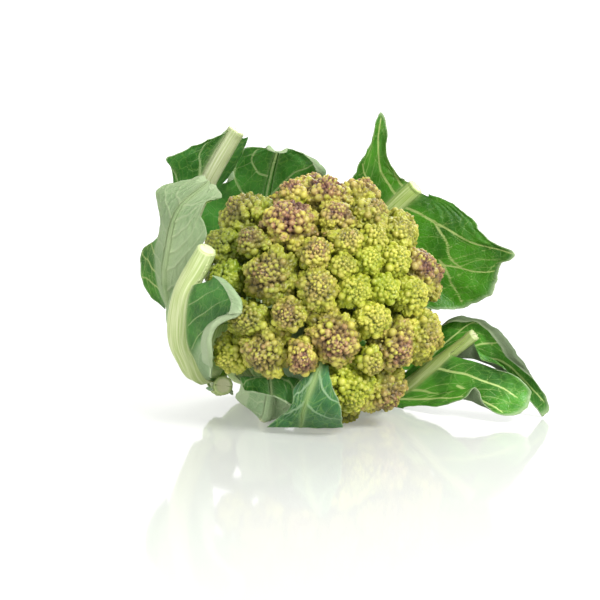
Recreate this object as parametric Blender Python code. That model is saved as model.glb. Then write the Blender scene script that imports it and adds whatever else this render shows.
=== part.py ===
"""A head of romanesco with its outer leaves, cut from the plant and resting on a table.

Run it with: blender --background --python part.py

The head is laid out in its own frame, in millimetres: x to the right, y away from the front, z up, with
the middle of the curd at zero. It is then leant back by LEAN and set down on the table, so that the box
of the whole head stands on the origin. Every piece is its own object: the stalk, the florets that grow
out of it and the leaves round it.
"""
import math

import bmesh
import bpy
from mathutils import Matrix, Vector

MM = 0.001
LEAN = math.radians(9.0)  # the head leans back this far when it is set down
TABLE = -79.0  # height of the table under the middle of the curd, after leaning
GAP = 0.3  # clear gap between neighbouring pieces

# The curd is a dome: a flattened ball seen from its top, with the stalk behind it.
AXIS = Vector((0.45, -0.816, 0.357)).normalized()  # from the stalk out through the top of the curd
DOME_RADIUS = 88.0  # across the axis
DOME_HEIGHT = 76.0  # along the axis
HEART = AXIS * -12.0  # all florets grow out from this point
CORE_RADIUS = 33.0  # the top of the stalk, inside the curd
STALK_RADIUS = 21.0
STALK_LENGTH = 104.0  # from the heart to the cut end
FLORET_SIDES = 12

# Angles round the axis start at the top and go to the left, seen from the front.
SIDE = Vector((0, 0, 1)) - AXIS * AXIS.z
SIDE = SIDE.normalized()
FRONT = AXIS.cross(SIDE).normalized()

# Florets of the curd's face: how far right and up of the middle each one shows, and its radius.
FACE_FLORETS = (
    (-53, 59, 15.5), (-20, 50, 17.5), (5, 71, 14.5), (-17, 72, 8.0), (11, 53, 10.5), (36, 57, 12.0),
    (18, 37, 9.5), (54, 45, 11.5), (36, 39, 8.5), (49, 26, 11.0), (69, 23, 11.5), (31, 25, 8.5),
    (15, 21, 9.0), (-2, 29, 9.5), (-32, 14, 17.0), (-1, 7, 13.5), (22, 6, 11.0), (41, 7, 9.5),
    (61, 4, 11.0), (-45, -13, 12.0), (-20, -9, 10.5), (8, -25, 18.0), (34, -12, 10.5), (49, -31, 15.0),
    (70, -23, 12.5), (-35, -32, 16.0), (-11, -36, 10.0), (-58, -36, 11.0), (20, -58, 15.5), (44, -62, 15.0),
    (-64, 36, 13.0), (-43, 38, 9.0), (-62, 12, 12.0), (33, -41, 8.0),
)
# Florets round the rim that faces away: the angle round the axis, the angle from it, and the radius.
REAR_FLORETS = (
    (335, 96, 15.0), (310, 97, 15.5), (283, 96, 15.0), (256, 96, 15.0), (219, 97, 14.5), (188, 98, 13.0),
    (1, 97, 14.0), (28, 97, 13.0), (306, 66, 14.5), (277, 65, 14.0), (334, 63, 13.5), (245, 73, 14.0),
    (353, 79, 13.0),
)

# Colours of the real thing, as linear red, green and blue.
CURD_GREEN = (0.42, 0.45, 0.07)
STALK_GREEN = (0.50, 0.60, 0.24)
LEAF_GREEN = (0.05, 0.17, 0.035)


def round_point(angle, radial, along):
    """A point round the axis: its angle, its distance from the axis and its place along it."""
    turn = math.radians(angle)
    return HEART + AXIS * along + (SIDE * math.cos(turn) + FRONT * math.sin(turn)) * radial


def dome_reach(direction):
    """How far the curd's outline is from the heart in a direction."""
    a = direction.dot(AXIS)
    across = math.sqrt(max(0.0, 1 - a * a))
    start = HEART.dot(AXIS)
    qa = (across / DOME_RADIUS) ** 2 + (a / DOME_HEIGHT) ** 2
    qb = 2 * a * start / DOME_HEIGHT**2
    qc = (start / DOME_HEIGHT) ** 2 - 1
    return (-qb + math.sqrt(qb * qb - 4 * qa * qc)) / (2 * qa)


def new_material(name, colour, roughness):
    material = bpy.data.materials.new(name)
    material.use_nodes = True
    shader = material.node_tree.nodes["Principled BSDF"]
    shader.inputs["Base Color"].default_value = (*colour, 1)
    shader.inputs["Roughness"].default_value = roughness
    shader.inputs["Metallic"].default_value = 0.0
    return material


def new_object(name, bm, material):
    """Turns a bmesh in millimetres into a named object, leant back and shaded smooth."""
    bmesh.ops.recalc_face_normals(bm, faces=bm.faces)
    bm.transform(Matrix.Scale(MM, 4) @ Matrix.Rotation(-LEAN, 4, "X"))
    mesh = bpy.data.meshes.new(name)
    bm.to_mesh(mesh)
    bm.free()
    mesh.materials.append(material)
    mesh.shade_smooth()
    obj = bpy.data.objects.new(name, mesh)
    bpy.context.scene.collection.objects.link(obj)
    return obj


def table_height(point):
    """The lowest z that a point may have before the head is leant back, so that it stays on the table."""
    return (TABLE + point.y * math.sin(LEAN)) / math.cos(LEAN)


def flatten_on_table(bm):
    """Cuts off what would be under the table, which leaves the flat spot that the head rests on."""
    normal = Matrix.Rotation(LEAN, 3, "X") @ Vector((0, 0, 1))
    geometry = bm.verts[:] + bm.edges[:] + bm.faces[:]
    cut = bmesh.ops.bisect_plane(bm, geom=geometry, plane_co=normal * TABLE, plane_no=normal,
                                 clear_inner=True)
    edges = [part for part in cut["geom_cut"] if isinstance(part, bmesh.types.BMEdge)]
    if edges:
        bmesh.ops.contextual_create(bm, geom=edges)


def turned(start, direction, profile, sides):
    """A closed solid turned round a line. The profile lists distances along the line with radii, and its ends
    are closed with flat caps, or come to a point where the radius is 0."""
    bm = bmesh.new()
    across = direction.orthogonal().normalized()
    other = direction.cross(across)
    rings = []
    for along, radius in profile:
        middle = start + direction * along
        if radius == 0:
            rings.append([bm.verts.new(middle)])
            continue
        ring = []
        for i in range(sides):
            turn = 2 * math.pi * i / sides
            ring.append(bm.verts.new(middle + (across * math.cos(turn) + other * math.sin(turn)) * radius))
        rings.append(ring)
    for lower, upper in zip(rings, rings[1:]):
        for i in range(sides):
            j = (i + 1) % sides
            corners = [lower[i % len(lower)], lower[j % len(lower)], upper[j % len(upper)], upper[i % len(upper)]]
            bm.faces.new(list(dict.fromkeys(corners)))
    for ring in (rings[0], rings[-1]):
        if len(ring) > 1:
            bm.faces.new(ring)
    return bm


def make_stalk(material):
    """The stout stalk, cut straight across at its foot, with the round core that carries the florets."""
    core = [(CORE_RADIUS * math.sin(math.radians(a)), CORE_RADIUS * math.cos(math.radians(a)))
            for a in (-25, 0, 30, 55, 75)]
    profile = [(-STALK_LENGTH, STALK_RADIUS - 2.0), (-STALK_LENGTH + 2.0, STALK_RADIUS)]
    profile += [(-60, STALK_RADIUS), (-34, STALK_RADIUS + 1.5)] + core + [(CORE_RADIUS, 0)]
    new_object("stalk", turned(HEART, AXIS, profile, 20), material)


def floret_axes():
    """Every floret's direction from the heart, its angular radius, and how far it may spread into free space."""
    found = []
    for right, up, radius in FACE_FLORETS:
        toward = -0.8 * DOME_RADIUS
        for _ in range(12):  # slide the floret's middle onto the dome, straight towards the front
            direction = (Vector((right, toward, up)) - HEART).normalized()
            middle = HEART + direction * (dome_reach(direction) - 0.6 * radius)
            toward += 0.7 * (middle.y - toward)
        found.append((direction, math.atan(radius / (dome_reach(direction) - radius)), 1.3))
    for angle, polar, radius in REAR_FLORETS:
        tilt = math.radians(polar)
        direction = (round_point(angle, math.sin(tilt), math.cos(tilt)) - HEART).normalized()
        found.append((direction, math.atan(radius / (dome_reach(direction) - radius)), 1.4))
    return found


def floret_outline(number, axes):
    """How wide a floret is, per distance from the heart, in every direction round it. The wall between two
    neighbours is a plane through the heart, and each stays clear of it by half of the gap."""
    direction, spread, most = axes[number]
    across = direction.orthogonal().normalized()
    other = direction.cross(across)
    outline = []
    for i in range(FLORET_SIDES):
        turn = 2 * math.pi * i / FLORET_SIDES
        ray = across * math.cos(turn) + other * math.sin(turn)
        width = math.tan(most * spread)
        for k, (neighbour, breadth, _) in enumerate(axes):
            apart = direction.angle(neighbour)
            if k == number or apart > 1.4:
                continue
            way = (neighbour - direction * direction.dot(neighbour)).normalized()
            facing = ray.dot(way)
            if facing > 0.05:
                wall = math.tan(apart * spread / (spread + breadth)) / facing
                width = min(width, wall - 0.5 * GAP / (CORE_RADIUS * facing))
        outline.append(ray * width)
    return outline


def make_florets(material):
    """Each floret is a stem that widens into a rounded head, packed against its neighbours."""
    axes = floret_axes()
    start = CORE_RADIUS + 1.0
    for number, (direction, _, _) in enumerate(axes):
        outline = floret_outline(number, axes)
        slope = sum(ray.length for ray in outline) / len(outline)
        reach = dome_reach(direction)
        shoulder = reach / (1 + 0.9 * slope)
        crown = reach - shoulder
        bm = bmesh.new()
        rings = []
        for along, fill in ((start, 0.72), (0.55 * shoulder + 0.45 * start, 0.75), (shoulder - 0.25 * crown, 0.99),
                            (shoulder + 0.25 * crown, 0.92), (shoulder + 0.68 * crown, 0.60)):
            rings.append([bm.verts.new(HEART + (direction + ray * fill) * along) for ray in outline])
        tip = bm.verts.new(HEART + direction * reach)
        for lower, upper in zip(rings, rings[1:]):
            for i in range(FLORET_SIDES):
                j = (i + 1) % FLORET_SIDES
                bm.faces.new([lower[i], lower[j], upper[j], upper[i]])
        for i in range(FLORET_SIDES):
            bm.faces.new([rings[-1][i], rings[-1][(i + 1) % FLORET_SIDES], tip])
        bm.faces.new(rings[0])
        flatten_on_table(bm)
        new_object(f"floret_{number + 1:02d}", bm, material)


def curve_point(points, t):
    """The point at t, from 0 to 1, on a smooth curve through a list of points."""
    if len(points) == 1:
        return points[0].copy()
    place = min(max(t, 0.0), 1.0) * (len(points) - 1)
    i = min(int(place), len(points) - 2)
    f = place - i
    p1, p2 = points[i], points[i + 1]
    p0 = points[i - 1] if i > 0 else p1 * 2 - p2
    p3 = points[i + 2] if i + 2 < len(points) else p2 * 2 - p1
    return 0.5 * (2 * p1 + (p2 - p0) * f + (2 * p0 - 5 * p1 + 4 * p2 - p3) * f * f
                  + (3 * p1 - p0 - 3 * p2 + p3) * f**3)


def above_table(point, clear):
    """The point, lifted if it is under the table or nearer to it than clear."""
    low = table_height(point) + clear / math.cos(LEAN)
    return Vector((point.x, point.y, max(point.z, low)))


def rib_mesh(rib, thick, rows, sides=8):
    """A leaf's midrib: a tube along the rib's points, tapering from thick[0] to thick[1] across, cut square."""
    bm = bmesh.new()
    rings = []
    side = None
    for i in range(rows + 1):
        t = i / rows
        radius = 0.5 * (thick[0] + (thick[1] - thick[0]) * t)
        middle = above_table(curve_point(rib, t), radius + 0.2)
        ahead = curve_point(rib, min(1, t + 0.02)) - curve_point(rib, max(0, t - 0.02))
        ahead.normalize()
        side = ahead.orthogonal() if side is None else side - ahead * side.dot(ahead)
        side.normalize()
        other = ahead.cross(side)
        rings.append([bm.verts.new(middle + (side * math.cos(a) + other * math.sin(a)) * radius)
                      for a in (2 * math.pi * k / sides for k in range(sides))])
    for lower, upper in zip(rings, rings[1:]):
        for k in range(sides):
            bm.faces.new([lower[k], lower[(k + 1) % sides], upper[(k + 1) % sides], upper[k]])
    bm.faces.new(rings[0])
    bm.faces.new(rings[-1])
    return bm


def wing_mesh(rib, wing, rows, columns, thickness=1.4):
    """One side of a leaf's blade: a thin sheet from the rib, over its middle line, to its edge."""
    first, last = wing["span"]
    grid = []
    for i in range(rows + 1):
        t = i / rows
        root = curve_point(rib, first + (last - first) * t)
        middle, edge = curve_point(wing["mid"], t), curve_point(wing["edge"], t)
        row = []
        for j in range(columns + 1):
            s = j / columns
            row.append(above_table(root * (1 - s) ** 2 + middle * 2 * s * (1 - s) + edge * s * s, 0.9))
        grid.append(row)
    bm = bmesh.new()
    layers = []
    for offset in (-0.5 * thickness, 0.5 * thickness):
        layer = []
        for i in range(rows + 1):
            line = []
            for j in range(columns + 1):
                along = grid[min(i + 1, rows)][j] - grid[max(i - 1, 0)][j]
                across = grid[i][min(j + 1, columns)] - grid[i][max(j - 1, 0)]
                line.append(bm.verts.new(grid[i][j] + along.cross(across).normalized() * offset))
            layer.append(line)
        layers.append(layer)
    under, over = layers
    for i in range(rows):
        for j in range(columns):
            bm.faces.new([under[i][j], under[i + 1][j], under[i + 1][j + 1], under[i][j + 1]])
            bm.faces.new([over[i][j], over[i][j + 1], over[i + 1][j + 1], over[i + 1][j]])
    rim = [(i, 0) for i in range(rows)] + [(rows, j) for j in range(columns)]
    rim += [(i, columns) for i in range(rows, 0, -1)] + [(0, j) for j in range(columns, 0, -1)]
    for (i, j), (m, n) in zip(rim, rim[1:] + rim[:1]):
        bm.faces.new([under[i][j], over[i][j], over[m][n], under[m][n]])
    return bm


def points(*places):
    return [Vector(place) for place in places]


def leaf_plans():
    """Every leaf: where its midrib leaves the stalk (angle round the axis, distance down from the heart), the
    places that the midrib passes, its thickness at both ends, and the sides of the blade. A side has its
    span along the midrib, and the lines of its middle and of its edge, from the stalk's end outwards."""
    plans = {}
    plans["leaf_upper_right"] = dict(
        foot=(268, 62), rib=points((12, 80, 26), (36, 78, 46), (52, 70, 63), (66, 62, 77)), thick=(11, 12),
        left=dict(span=(0.3, 0.97), mid=points((14, 86, 46), (30, 78, 78), (42, 68, 94), (56, 66, 84)),
                  edge=points((10, 80, 54), (21, 74, 78), (28, 70, 92), (35, 64, 106), (42, 56, 125), (48, 58, 114),
                              (47, 60, 98), (50, 62, 88), (60, 62, 79))),
        right=dict(span=(0.2, 0.97), mid=points((40, 86, 14), (66, 80, 20), (94, 70, 26), (100, 64, 50), (80, 64, 68)),
                   edge=points((40, 84, -18), (60, 80, -12), (82, 74, -7), (100, 70, -5), (116, 64, 3), (124, 60, 16),
                               (132, 52, 31), (118, 56, 36), (110, 58, 46), (102, 60, 58), (88, 62, 68), (76, 62, 72)))
    )
    plans["leaf_top_left"] = dict(
        foot=(8, 66), rib=points((-78, 58, 22), (-86, 44, 50), (-74, 36, 79), (-55, 28, 112)), thick=(12, 12),
        left=dict(span=(0.5, 0.98), mid=points((-94, 40, 62), (-92, 30, 86), (-84, 26, 96), (-66, 26, 109)),
                  edge=points((-98, 40, 60), (-97, 32, 74), (-98, 26, 86), (-101, 20, 93), (-92, 20, 97), (-82, 22, 102),
                              (-69, 24, 108), (-60, 26, 112))),
        right=dict(span=(0.70, 0.98), mid=points((-60, 42, 82), (-51, 34, 106)),
                   edge=points((-61, 42, 82), (-54, 40, 92), (-49, 36, 101), (-46, 34, 110))))
    plans["leaf_top_middle"] = dict(
        foot=(332, 60), rib=points((-34, 84, 36), (-36, 70, 66), (-32, 54, 86), (-28, 44, 99)), thick=(9, 4),
        left=dict(span=(0.3, 1), mid=points((-48, 78, 46), (-54, 66, 68), (-52, 52, 88), (-38, 42, 101)),
                  edge=points((-60, 76, 48), (-70, 64, 64), (-67, 56, 77), (-60, 46, 91), (-46, 42, 103), (-34, 43, 103))),
        right=dict(span=(0.3, 1), mid=points((-22, 86, 50), (-14, 72, 72), (-12, 56, 90), (-20, 46, 98)),
                   edge=points((-10, 88, 52), (3, 74, 68), (3, 60, 80), (6, 48, 89), (-8, 48, 98), (-21, 44, 101))))
    plans["leaf_left"] = dict(
        foot=(49, 62), rib=points((-91, 43, -19), (-100, 16, 8), (-97, 0, 34), (-90, -8, 56), (-79, -8, 68)),
        thick=(10, 4),
        left=dict(span=(0.3, 1), mid=points((-104, 34, 0), (-108, 22, 24), (-107, 10, 48), (-98, 2, 64), (-88, 0, 72)),
                  edge=points((-104, 44, -8), (-115, 36, 6), (-119, 28, 18), (-117, 24, 34), (-104, 18, 34),
                              (-106, 12, 56), (-105, 6, 71), (-93, 2, 76), (-80, 0, 82))),
        right=dict(span=(0.3, 1), mid=points((-90, 24, -16), (-93, 4, 12), (-84, -12, 38), (-80, -16, 56), (-72, -14, 66)),
                   edge=points((-86, 30, -14), (-86, 10, 6), (-76, -10, 30), (-72, -16, 42), (-74, -18, 56),
                               (-70, -16, 63), (-63, -10, 64))))
    plans["leaf_left_front"] = dict(
        foot=(76, 78), rib=points((-76, 22, -45), (-87, -14, -26), (-84, -42, 2), (-69.5, -60, 30)), thick=(18, 10.5),
        left=dict(span=(0.42, 0.9), mid=points((-90, -4, -32), (-94, -26, -8), (-82, -50, 14)),
                  edge=points((-93, 4, -32), (-98, -18, -12), (-92, -36, 6), (-82, -52, 20))),
        right=dict(span=(0.3, 0.84), mid=points((-72, -2, -48), (-77, -38, -34), (-70, -62, -14), (-66, -70, -2),
                                                (-68, -70, 6), (-71, -62, 10)),
                   edge=points((-67, -42, -50), (-64, -61, -33), (-61, -69, -16), (-53, -74, -11), (-45, -76, -11),
                               (-44, -76, -4), (-48, -76, 3), (-54, -74, 9), (-62, -70, 13), (-68, -64, 11))))
    plans["leaf_low_left"] = dict(
        foot=(100, 92), rib=points((-68, 46, -57), (-63, 18, -58)), thick=(14, 13),
        left=dict(span=(0.35, 0.92), mid=points((-68, 38, -64), (-69, 18, -62)),
                  edge=points((-72, 40, -64), (-74, 26, -64), (-70, 14, -64))),
        right=dict(span=(0.35, 0.92), mid=points((-56, 38, -68), (-56, 14, -65)),
                   edge=points((-52, 40, -70), (-50, 24, -66), (-51, 12, -62))))
    plans["leaf_bottom_left"] = dict(
        foot=(138, 77), rib=points((-33, 34, -72), (-36, 4, -76), (-33, -18, -74), (-31, -28, -60), (-31, -32, -50),
                                   (-31, -39, -50), (-30, -44, -60)), thick=(9, 3.5),
        left=dict(span=(0.4, 1), mid=points((-42, 12, -76), (-43, -8, -74), (-41, -26, -60), (-41, -31, -50), (-41, -39, -49), (-40, -44, -57)),
                  edge=points((-46, 8, -72), (-47, -6, -68), (-46, -20, -62), (-49, -28, -51), (-51, -36, -49), (-47, -44, -57))),
        right=dict(span=(0.4, 1), mid=points((-28, 8, -78), (-26, -6, -78), (-23, -25, -64), (-22, -31, -51), (-22, -40, -50), (-22, -45, -62)),
                   edge=points((-24, 4, -77), (-22, -10, -76), (-18, -22, -68), (-14, -31, -52), (-12, -40, -51), (-14, -46, -68))))
    plans["leaf_bottom_front"] = dict(
        foot=(150, 62), rib=points((-14, 20, -60), (-5, -34, -50), (-2, -57, -44), (-10, -50, -67), (-12, -33, -80)),
        thick=(9, 3),
        left=dict(span=(0.62, 1), mid=points((-3, -58, -48), (-14, -54, -66), (-22, -38, -81)),
                  edge=points((-6, -58, -46), (-16, -54, -58), (-20, -50, -72), (-35, -32, -81))),
        right=dict(span=(0.62, 1), mid=points((2, -64, -50), (2, -61, -68), (2, -40, -81)),
                   edge=points((3, -61, -46), (8, -66, -57), (12, -60, -70), (15, -38, -81))))
    plans["leaf_lower_right"] = dict(
        foot=(186, 72), rib=points((10, 64, -60), (50, 46, -63), (76, 24, -44), (101, 10, -24)), thick=(12, 8.5),
        left=dict(span=(0.5, 0.97), mid=points((72, 36, -40), (82, 30, -28), (96, 22, -20), (110, 14, -22), (120, 12, -34),
                                               (116, 12, -38), (106, 12, -36)),
                  edge=points((74, 38, -34), (81, 34, -24), (86, 30, -15), (95, 24, -12), (104, 20, -15), (112, 14, -18),
                              (126, 6, -32), (134, 4, -45), (142, 6, -57), (151, 10, -72), (146, 12, -77), (139, 8, -67),
                              (130, 8, -56), (122, 10, -46), (112, 12, -42), (104, 12, -39))),
        right=dict(span=(0.3, 0.85), mid=points((50, 46, -72), (74, 26, -66), (96, 6, -52), (104, 4, -40)),
                   edge=points((46, 46, -76), (62, 30, -78), (80, 12, -73), (96, 0, -66), (102, -2, -58), (110, -4, -70),
                               (122, -6, -76), (134, -4, -72), (138, -2, -62), (128, -2, -50), (114, 0, -46))))
    plans["leaf_back_right"] = dict(
        foot=(234, 66), rib=points((24, 92, -22), (54, 92, -20), (80, 84, -18)), thick=(12, 10),
        left=dict(span=(0.35, 0.95), mid=points((36, 98, -10), (56, 98, -4), (80, 88, -2)),
                  edge=points((36, 98, -2), (52, 98, 6), (70, 92, 8), (86, 82, 0))),
        right=dict(span=(0.35, 0.95), mid=points((34, 96, -34), (56, 94, -36), (80, 82, -34)),
                   edge=points((32, 98, -44), (52, 94, -50), (72, 84, -48), (86, 74, -34))))
    plans["leaf_back_low"] = dict(
        foot=(206, 92), rib=points((-8, 100, -60), (16, 96, -66), (38, 88, -68)), thick=(13, 11),
        left=dict(span=(0.4, 0.95), mid=points((4, 108, -52), (22, 108, -56), (40, 94, -60)),
                  edge=points((2, 112, -46), (18, 114, -48), (34, 104, -52), (44, 94, -58))),
        right=dict(span=(0.4, 0.95), mid=points((4, 92, -68), (20, 86, -70), (38, 80, -70)),
                   edge=points((2, 84, -70), (16, 76, -70), (32, 74, -70), (42, 78, -68))))
    return plans


def make_leaf(name, plan, material):
    """Joins a midrib and both sides of its blade into one solid."""
    angle, down = plan["foot"]
    foot = round_point(angle, STALK_RADIUS + 0.5 * plan["thick"][0] + 1.0, -down)
    rib = [foot] + plan["rib"]
    leaf = new_object(name, rib_mesh(rib, plan["thick"], 9), material)
    for side in ("left", "right"):
        wing = new_object(f"{name}_{side}", wing_mesh(rib, plan[side], 10, 4), material)
        wing.hide_render = True
        wing.display_type = "WIRE"
        join = leaf.modifiers.new(side, "BOOLEAN")
        join.operation = "UNION"
        join.object = wing
    return leaf


def stand_on_origin():
    """Moves every object so that the box round the whole head stands on the origin."""
    bpy.context.view_layer.update()
    graph = bpy.context.evaluated_depsgraph_get()
    corners = []
    for obj in bpy.context.scene.objects:
        if not obj.hide_render:
            corners += [vertex.co.copy() for vertex in obj.evaluated_get(graph).data.vertices]
    low = Vector([min(corner[k] for corner in corners) for k in range(3)])
    high = Vector([max(corner[k] for corner in corners) for k in range(3)])
    shift = Vector((-(low.x + high.x) / 2, -(low.y + high.y) / 2, -TABLE * MM))
    for obj in bpy.context.scene.objects:
        obj.location = shift


def main():
    for obj in list(bpy.data.objects):
        bpy.data.objects.remove(obj)
    curd = new_material("curd", CURD_GREEN, 0.6)
    stalk = new_material("stalk", STALK_GREEN, 0.5)
    leaf = new_material("leaf", LEAF_GREEN, 0.45)
    make_stalk(stalk)
    make_florets(curd)
    for name, plan in leaf_plans().items():
        make_leaf(name, plan, leaf)
    stand_on_origin()


main()
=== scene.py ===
import math

import bmesh
import bpy
import numpy as np
from mathutils import Matrix, Vector
from mathutils.bvhtree import BVHTree


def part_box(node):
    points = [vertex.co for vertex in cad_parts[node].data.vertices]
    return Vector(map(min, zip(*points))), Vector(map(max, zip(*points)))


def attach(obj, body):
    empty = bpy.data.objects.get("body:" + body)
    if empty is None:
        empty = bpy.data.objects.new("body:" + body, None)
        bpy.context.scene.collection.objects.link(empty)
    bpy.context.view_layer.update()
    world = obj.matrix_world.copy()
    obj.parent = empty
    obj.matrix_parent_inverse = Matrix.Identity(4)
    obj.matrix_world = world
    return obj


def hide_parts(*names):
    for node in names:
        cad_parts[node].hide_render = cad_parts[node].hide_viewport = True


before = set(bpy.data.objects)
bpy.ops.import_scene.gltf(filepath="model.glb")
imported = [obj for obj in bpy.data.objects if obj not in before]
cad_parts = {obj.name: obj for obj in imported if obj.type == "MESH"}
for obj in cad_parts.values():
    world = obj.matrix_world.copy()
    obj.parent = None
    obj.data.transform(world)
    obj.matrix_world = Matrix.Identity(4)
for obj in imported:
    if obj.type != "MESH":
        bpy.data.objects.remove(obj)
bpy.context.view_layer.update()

mm = 0.001
lean = math.radians(9.0)
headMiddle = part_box("stalk")[1] + Vector((-0.02748, -0.09964, -0.02719))  # middle of the curd
leanBack = Matrix.Rotation(-lean, 3, "X")
headAxis = Vector((0.45, -0.816, 0.357)).normalized()  # out of the stalk through the top of the curd
upSide = (Vector((0, 0, 1)) - headAxis * headAxis.z).normalized()
frontSide = headAxis.cross(upSide).normalized()
heart = headAxis * -12.0  # every floret grows out from here


def toRow(points):  # millimetres in the head's own frame, to metres in the row frame
    turned = np.asarray(points, float) @ np.array(leanBack).T
    return turned * mm + np.array(headMiddle)


def toHead(points):
    return (np.asarray(points, float) - np.array(headMiddle)) / mm @ np.array(leanBack)


def roundPoint(angle, radial, along):
    turn = math.radians(angle)
    return heart + headAxis * along + (upSide * math.cos(turn) + frontSide * math.sin(turn)) * radial


class Wire:  # one output socket, with the arithmetic that the materials use
    def __init__(self, socket):
        self.socket = socket
        self.tree = socket.id_data

    def maths(self, operation, *values, clamp=False):
        return addNode(self.tree, "ShaderNodeMath", {"operation": operation, "use_clamp": clamp},
                       dict(enumerate((self, *values))))

    def __add__(self, other):
        return self.maths("ADD", other)

    def __sub__(self, other):
        return self.maths("SUBTRACT", other)

    def __mul__(self, other):
        return self.maths("MULTIPLY", other)

    def __truediv__(self, other):
        return self.maths("DIVIDE", other)

    def __rsub__(self, other):
        return addNode(self.tree, "ShaderNodeMath", {"operation": "SUBTRACT"}, {0: other, 1: self})

    __radd__ = __add__
    __rmul__ = __mul__

    def clamp(self):
        return self.maths("ADD", 0.0, clamp=True)

    def steps(self, low, high):  # 0 below low, 1 above high, smooth between
        return addNode(self.tree, "ShaderNodeMapRange", {"interpolation_type": "SMOOTHSTEP"},
                       {"Value": self, "From Min": low, "From Max": high})


def addNode(tree, kind, settings=None, inputs=None, output=0):
    node = tree.nodes.new(kind)
    for name, value in (settings or {}).items():
        setattr(node, name, value)
    for name, value in (inputs or {}).items():
        if isinstance(value, Wire):
            tree.links.new(value.socket, node.inputs[name])
        else:
            node.inputs[name].default_value = value
    return Wire(node.outputs[output])


class Finish:  # one material with a Principled shader
    def __init__(self, name, **fixed):
        self.material = bpy.data.materials.new(name)
        self.material.use_nodes = True
        self.tree = self.material.node_tree
        self.shader = self.tree.nodes["Principled BSDF"]
        for socket, value in fixed.items():
            self.shader.inputs[socket.replace("_", " ")].default_value = value

    def add(self, kind, settings=None, inputs=None, output=0):
        return addNode(self.tree, kind, settings, inputs, output)

    def parts(self, name):  # the three numbers of a vector that is stored on the mesh
        vector = self.add("ShaderNodeAttribute", {"attribute_name": name}, output=1)
        split = self.tree.nodes.new("ShaderNodeSeparateXYZ")
        self.tree.links.new(vector.socket, split.inputs[0])
        return [Wire(socket) for socket in split.outputs]

    def noise(self, scale, detail):
        place = self.add("ShaderNodeTexCoord", output=3)
        return self.add("ShaderNodeTexNoise", None, {"Vector": place, "Scale": scale, "Detail": detail})

    def mix(self, mask, low, high, blend="MIX"):
        node = self.tree.nodes.new("ShaderNodeMix")
        node.data_type = "RGBA"
        node.blend_type = blend
        for index, value in ((0, mask), (6, low), (7, high)):
            if isinstance(value, Wire):
                self.tree.links.new(value.socket, node.inputs[index])
            else:
                node.inputs[index].default_value = value if index == 0 else (*value, 1)
        return Wire(node.outputs[2])

    def times(self, colour, factor):
        return self.add("ShaderNodeVectorMath", {"operation": "SCALE"}, {0: colour, "Scale": factor})

    def bump(self, height, strength, distance):
        return self.add("ShaderNodeBump", None,
                        {"Height": height, "Strength": strength, "Distance": distance})

    def feed(self, **links):
        for socket, wire in links.items():
            self.tree.links.new(wire.socket, self.shader.inputs[socket.replace("_", " ")])
        return self.material

    def seeThrough(self, colour, amount):  # a thin sheet lets light through from behind
        back = self.add("ShaderNodeBsdfTranslucent", None, {"Color": colour})
        both = self.add("ShaderNodeMixShader", None, {0: amount, 2: back})
        self.tree.links.new(self.shader.outputs[0], both.socket.node.inputs[1])
        self.tree.links.new(both.socket, self.tree.nodes["Material Output"].inputs["Surface"])


def newMesh(name, points, faces, material, stored=None):
    # points are millimetres in the head's frame, stored is name to one vector for each point
    mesh = bpy.data.meshes.new(name)
    faces = [np.asarray(group) for group in faces]
    loops = np.concatenate([group.ravel() for group in faces])
    sizes = np.concatenate([np.full(len(group), group.shape[1]) for group in faces])
    mesh.vertices.add(len(points))
    mesh.vertices.foreach_set("co", toRow(points).astype(np.float32).ravel())
    mesh.loops.add(len(loops))
    mesh.loops.foreach_set("vertex_index", loops.astype(np.int32))
    mesh.polygons.add(len(sizes))
    mesh.polygons.foreach_set("loop_start", np.concatenate(([0], np.cumsum(sizes)[:-1])).astype(np.int32))
    mesh.update(calc_edges=True)
    mesh.validate()
    for label, values in (stored or {}).items():
        layer = mesh.attributes.new(label, "FLOAT_VECTOR", "POINT")
        layer.data.foreach_set("vector", np.asarray(values, np.float32).ravel())
    mesh.materials.append(material)
    mesh.shade_smooth()
    piece = bpy.data.objects.new(name, mesh)
    bpy.context.scene.collection.objects.link(piece)
    return piece


def unit(vectors):
    return vectors / np.maximum(np.linalg.norm(vectors, axis=-1, keepdims=True), 1e-9)


def dot(one, two):
    return np.einsum("ij,ij->i", one, two)


def angleOf(cosines):
    return np.arccos(np.clip(cosines, -1, 1))


def strips(lower, upper):  # quads between two sets of rows of point numbers that run round a piece
    return np.stack([lower, np.roll(lower, -1, 1), np.roll(upper, -1, 1), upper], -1).reshape(-1, 4)


def facingOut(points, quads, ends):
    corners = points[quads[:, :3]] - points.mean(0)
    inward = dot(corners[:, 0], np.cross(corners[:, 1], corners[:, 2])).sum() < 0
    return [group[:, ::-1] if inward else group for group in (quads, ends)]


def smoothStep(values, low, high):
    x = np.clip((values - low) / (high - low), 0, 1)
    return x * x * (3 - 2 * x)


def alongCurve(points, places):  # smooth curve through points, places run from 0 to 1
    points = np.asarray(points, float)
    places = np.clip(np.asarray(places, float), 0, 1) * (len(points) - 1)
    index = np.minimum(places.astype(int), len(points) - 2)
    part = (places - index)[:, None]
    padded = np.vstack([2 * points[0] - points[1], points, 2 * points[-1] - points[-2]])
    p0, p1, p2, p3 = (padded[index + k] for k in range(4))
    return 0.5 * (2 * p1 + (p2 - p0) * part + (2 * p0 - 5 * p1 + 4 * p2 - p3) * part**2
                  + (3 * p1 - p0 - 3 * p2 + p3) * part**3)


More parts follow.
